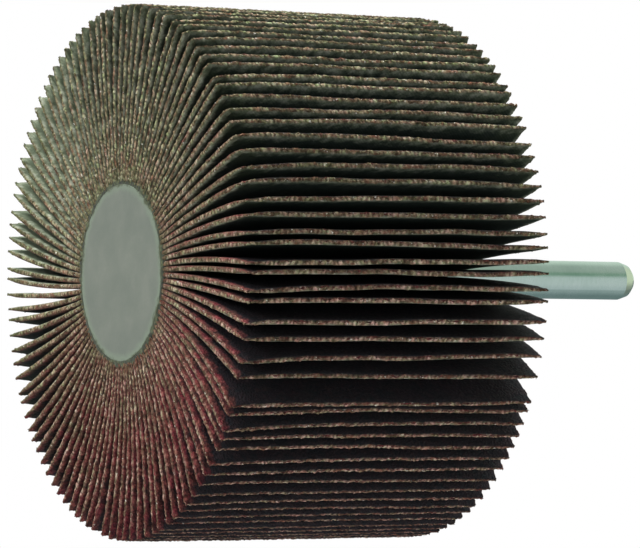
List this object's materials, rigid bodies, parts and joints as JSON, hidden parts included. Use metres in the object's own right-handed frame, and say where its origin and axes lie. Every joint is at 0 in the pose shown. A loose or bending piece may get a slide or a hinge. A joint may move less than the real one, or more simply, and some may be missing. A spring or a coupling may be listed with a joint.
{
  "type": "flap wheel",
  "caption": "Mounted flap wheel: a ring of abrasive cloth flaps standing edge on round a resin core with a plain front disc, on a round steel shank.",
  "frame": {"origin": "middle of the front face, on which the wheel stands", "axes": "+Z along the wheel's axis, from the front face to the shank's tip"},
  "size_m": [0.08, 0.08, 0.09],
  "materials": {
    "abrasive_cloth": "matte grit on one face, cloth backing on the other",
    "cast_resin": "matte",
    "grey_disc": "satin",
    "plated_steel": "satin zinc plating"
  },
  "bodies": {
    "root": {"flap_pair_01": "abrasive_cloth", "flap_pair_02": "abrasive_cloth", "flap_pair_03": "abrasive_cloth", "flap_pair_04": "abrasive_cloth", "flap_pair_05": "abrasive_cloth", "flap_pair_06": "abrasive_cloth", "flap_pair_07": "abrasive_cloth", "flap_pair_08": "abrasive_cloth", "flap_pair_09": "abrasive_cloth", "flap_pair_10": "abrasive_cloth", "flap_pair_11": "abrasive_cloth", "flap_pair_12": "abrasive_cloth", "flap_pair_13": "abrasive_cloth", "flap_pair_14": "abrasive_cloth", "flap_pair_15": "abrasive_cloth", "flap_pair_16": "abrasive_cloth", "flap_pair_17": "abrasive_cloth", "flap_pair_18": "abrasive_cloth", "flap_pair_19": "abrasive_cloth", "flap_pair_20": "abrasive_cloth", "flap_pair_21": "abrasive_cloth", "flap_pair_22": "abrasive_cloth", "flap_pair_23": "abrasive_cloth", "flap_pair_24": "abrasive_cloth", "flap_pair_25": "abrasive_cloth", "flap_pair_26": "abrasive_cloth", "flap_pair_27": "abrasive_cloth", "flap_pair_28": "abrasive_cloth", "flap_pair_29": "abrasive_cloth", "flap_pair_30": "abrasive_cloth", "flap_pair_31": "abrasive_cloth", "flap_pair_32": "abrasive_cloth", "flap_pair_33": "abrasive_cloth", "flap_pair_34": "abrasive_cloth", "flap_pair_35": "abrasive_cloth", "flap_pair_36": "abrasive_cloth", "flap_pair_37": "abrasive_cloth", "flap_pair_38": "abrasive_cloth", "flap_pair_39": "abrasive_cloth", "flap_pair_40": "abrasive_cloth", "flap_pair_41": "abrasive_cloth", "flap_pair_42": "abrasive_cloth", "flap_pair_43": "abrasive_cloth", "flap_pair_44": "abrasive_cloth", "flap_pair_45": "abrasive_cloth", "flap_pair_46": "abrasive_cloth", "flap_pair_47": "abrasive_cloth", "flap_pair_48": "abrasive_cloth", "flap_pair_49": "abrasive_cloth", "flap_pair_50": "abrasive_cloth", "flap_pair_51": "abrasive_cloth", "flap_pair_52": "abrasive_cloth", "flap_pair_53": "abrasive_cloth", "flap_pair_54": "abrasive_cloth", "front_disc": "grey_disc", "resin_core": "cast_resin", "shank": "plated_steel"}
  },
  "joints": []
}
